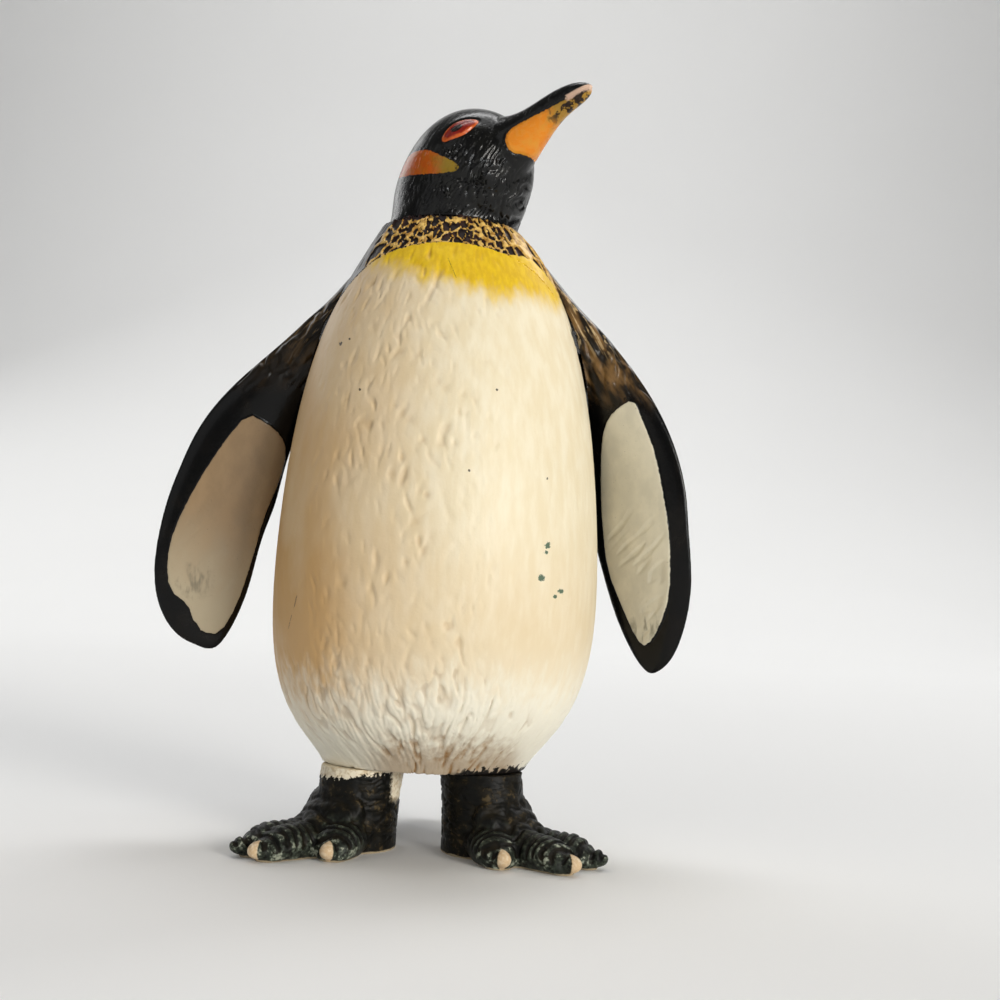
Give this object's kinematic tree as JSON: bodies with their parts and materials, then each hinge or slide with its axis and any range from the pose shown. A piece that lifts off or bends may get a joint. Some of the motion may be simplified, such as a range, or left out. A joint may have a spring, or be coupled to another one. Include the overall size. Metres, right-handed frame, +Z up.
{
  "type": "penguin figurine",
  "caption": "Standing king penguin figurine in painted plastic, head turned and bill raised, flippers hanging away from a white belly, flat webbed feet.",
  "frame": {"origin": "on the floor under the middle of the figure's box, with both soles at Z = 0", "axes": "the figure faces -Y, +Z is up and +X is the figure's own left"},
  "size_m": [0.0676, 0.04, 0.0927],
  "materials": {
    "belly_paint": "satin off-white paint with a tan wash in the carved strokes",
    "back_paint": "gloss black paint with brown wear and a yellow collar",
    "head_paint": "gloss black paint with orange ear patches and bill plates",
    "flipper_paint": "gloss black paint with an off-white inner patch",
    "foot_paint": "satin black-brown paint, grey-green dry brush on the toes, cream claws"
  },
  "bodies": {
    "root": {"belly_shell": "belly_paint", "back_shell": "back_paint", "head": "head_paint", "left_flipper": "flipper_paint", "right_flipper": "flipper_paint", "left_foot": "foot_paint", "right_foot": "foot_paint"}
  },
  "joints": []
}
